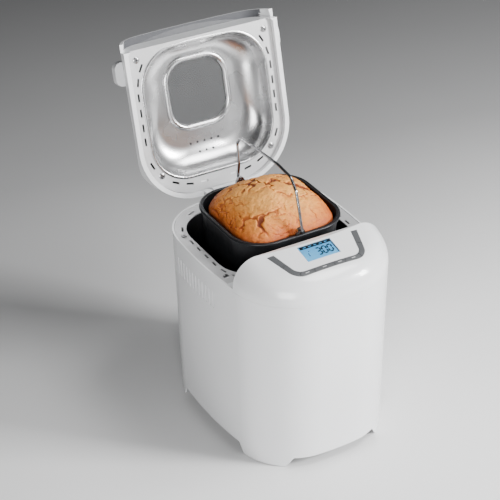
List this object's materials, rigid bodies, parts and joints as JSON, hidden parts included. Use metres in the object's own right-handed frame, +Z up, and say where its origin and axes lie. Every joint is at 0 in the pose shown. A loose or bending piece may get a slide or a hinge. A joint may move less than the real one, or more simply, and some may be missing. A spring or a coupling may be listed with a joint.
{
  "type": "bread machine",
  "caption": "Countertop bread machine with an open domed lid, a lift-out pan holding a baked loaf under a wire bail, a display with a band of keys and a belt-driven paddle.",
  "frame": {"origin": "on the surface the machine stands on, under the middle of the machine's box with its lid open", "axes": "+X to the right seen from the front, -Y to the front with the console, +Z up"},
  "size_m": [0.27, 0.4332, 0.5202],
  "materials": {
    "white_shell": "glossy white",
    "deck_grey": "satin light grey",
    "liner_grey": "satin light grey",
    "satin_aluminium": "drawn satin",
    "oven_steel": "dark coated",
    "plated_steel": "zinc plated",
    "bright_wire": "polished",
    "element_steel": "dull",
    "ceramic_white": "matt",
    "bronze": "sintered",
    "black_rubber": "matt",
    "black_plastic": "matt",
    "grey_plastic": "matt",
    "key_silver": "satin silver",
    "circuit_green": "solder mask",
    "lcd_blue": "backlit pale blue",
    "clear_window": "clear",
    "pan_coating": "dark non-stick",
    "crust": "baked crust"
  },
  "bodies": {
    "housing": {"housing_shell": "white_shell", "cord_gland": "black_plastic", "base_plate": "grey_plastic", "foot_pads": "black_rubber", "deck_frame": "deck_grey", "deck_screws": "plated_steel", "oven_chamber": "oven_steel", "heating_element": "element_steel", "element_bushes": "ceramic_white", "temperature_sensor": "plated_steel", "pan_seat": "plated_steel", "heat_shield": "plated_steel", "drive_frame": "plated_steel", "shaft_bush": "bronze", "drive_belt": "black_rubber", "motor": "plated_steel", "power_board": "circuit_green", "board_bracket": "plated_steel", "key_trim": "key_silver", "console_shell": "white_shell", "lcd_window": "clear_window", "lcd_module": "lcd_blue", "control_board": "circuit_green", "key_switches": "black_plastic", "hinge_block": "white_shell", "hinge_pin": "plated_steel"},
    "lid": {"lid_hinge_bracket": "white_shell", "lid_dome": "satin_aluminium", "lid_liner": "liner_grey", "lid_screws": "plated_steel", "lid_shell": "white_shell", "inner_window": "clear_window", "outer_window": "clear_window"},
    "pan": {"pan_body": "pan_coating", "pan_base": "pan_coating", "shaft_seal": "bronze", "bread_loaf": "crust", "handle_clips": "plated_steel"},
    "paddle": {"paddle_shaft": "plated_steel", "pan_coupling": "plated_steel", "kneading_paddle": "pan_coating"},
    "bail": {"bail_handle": "bright_wire"},
    "drive_rotor": {"drive_shaft": "plated_steel", "drive_pulley": "black_plastic", "drive_coupling": "plated_steel"},
    "motor_rotor": {"motor_shaft": "plated_steel", "motor_pulley": "black_plastic"},
    "key_menu": {"key_menu": "key_silver"},
    "key_time_up": {"key_time_up": "key_silver"},
    "key_time_down": {"key_time_down": "key_silver"},
    "key_loaf_size": {"key_loaf_size": "key_silver"},
    "key_crust": {"key_crust": "key_silver"},
    "key_light": {"key_light": "key_silver"},
    "key_start_stop": {"key_start_stop": "key_silver"}
  },
  "joints": [
    {"name": "lid_hinge", "type": "hinge", "parent": "housing", "child": "lid", "pos_m": [0, 0.11184, 0.28011], "axis": [1, 0, 0], "range_deg": [0, 103.26]},
    {"name": "pan_lift", "type": "slide", "parent": "housing", "child": "pan", "axis": [0, 0, -1], "range_m": [0, 0.06001]},
    {"name": "bail_fold", "type": "hinge", "parent": "pan", "child": "bail", "pos_m": [0, -0.0221, 0.323], "axis": [0, 1, 0], "range_deg": [0, 60.03]},
    {"name": "paddle_spin", "type": "hinge", "parent": "pan", "child": "paddle", "pos_m": [0, -0.0221, 0.188], "axis": [0, 0, 1], "continuous": true},
    {"name": "drive_spin", "type": "hinge", "parent": "housing", "child": "drive_rotor", "pos_m": [0, -0.0221, 0.06], "axis": [0, 0, 1], "continuous": true},
    {"name": "motor_spin", "type": "hinge", "parent": "housing", "child": "motor_rotor", "pos_m": [0, -0.1636, 0.06], "axis": [0, 0, 1], "continuous": true},
    {"name": "key_menu_press", "type": "slide", "parent": "housing", "child": "key_menu", "axis": [0, 0.1959, -0.9806], "range_m": [0, 0.0008], "stiffness_N_per_m": 900, "springref_m": -0.0004},
    {"name": "key_time_up_press", "type": "slide", "parent": "housing", "child": "key_time_up", "axis": [0, 0.1959, -0.9806], "range_m": [0, 0.0008], "stiffness_N_per_m": 900, "springref_m": -0.0004},
    {"name": "key_time_down_press", "type": "slide", "parent": "housing", "child": "key_time_down", "axis": [0, 0.1959, -0.9806], "range_m": [0, 0.0008], "stiffness_N_per_m": 900, "springref_m": -0.0004},
    {"name": "key_loaf_size_press", "type": "slide", "parent": "housing", "child": "key_loaf_size", "axis": [0, 0.1959, -0.9806], "range_m": [0, 0.0008], "stiffness_N_per_m": 900, "springref_m": -0.0004},
    {"name": "key_crust_press", "type": "slide", "parent": "housing", "child": "key_crust", "axis": [0, 0.1959, -0.9806], "range_m": [0, 0.0008], "stiffness_N_per_m": 900, "springref_m": -0.0004},
    {"name": "key_light_press", "type": "slide", "parent": "housing", "child": "key_light", "axis": [0, 0.1959, -0.9806], "range_m": [0, 0.0008], "stiffness_N_per_m": 900, "springref_m": -0.0004},
    {"name": "key_start_stop_press", "type": "slide", "parent": "housing", "child": "key_start_stop", "axis": [0, 0.1959, -0.9806], "range_m": [0, 0.0008], "stiffness_N_per_m": 900, "springref_m": -0.0004}
  ],
  "couplings": [
    {"joint": "pan_lift", "follows": "lid_hinge", "m_per_rad": 0.033292},
    {"joint": "bail_fold", "follows": "lid_hinge", "ratio": 0.58106},
    {"joint": "motor_spin", "follows": "drive_spin", "ratio": 5}
  ]
}
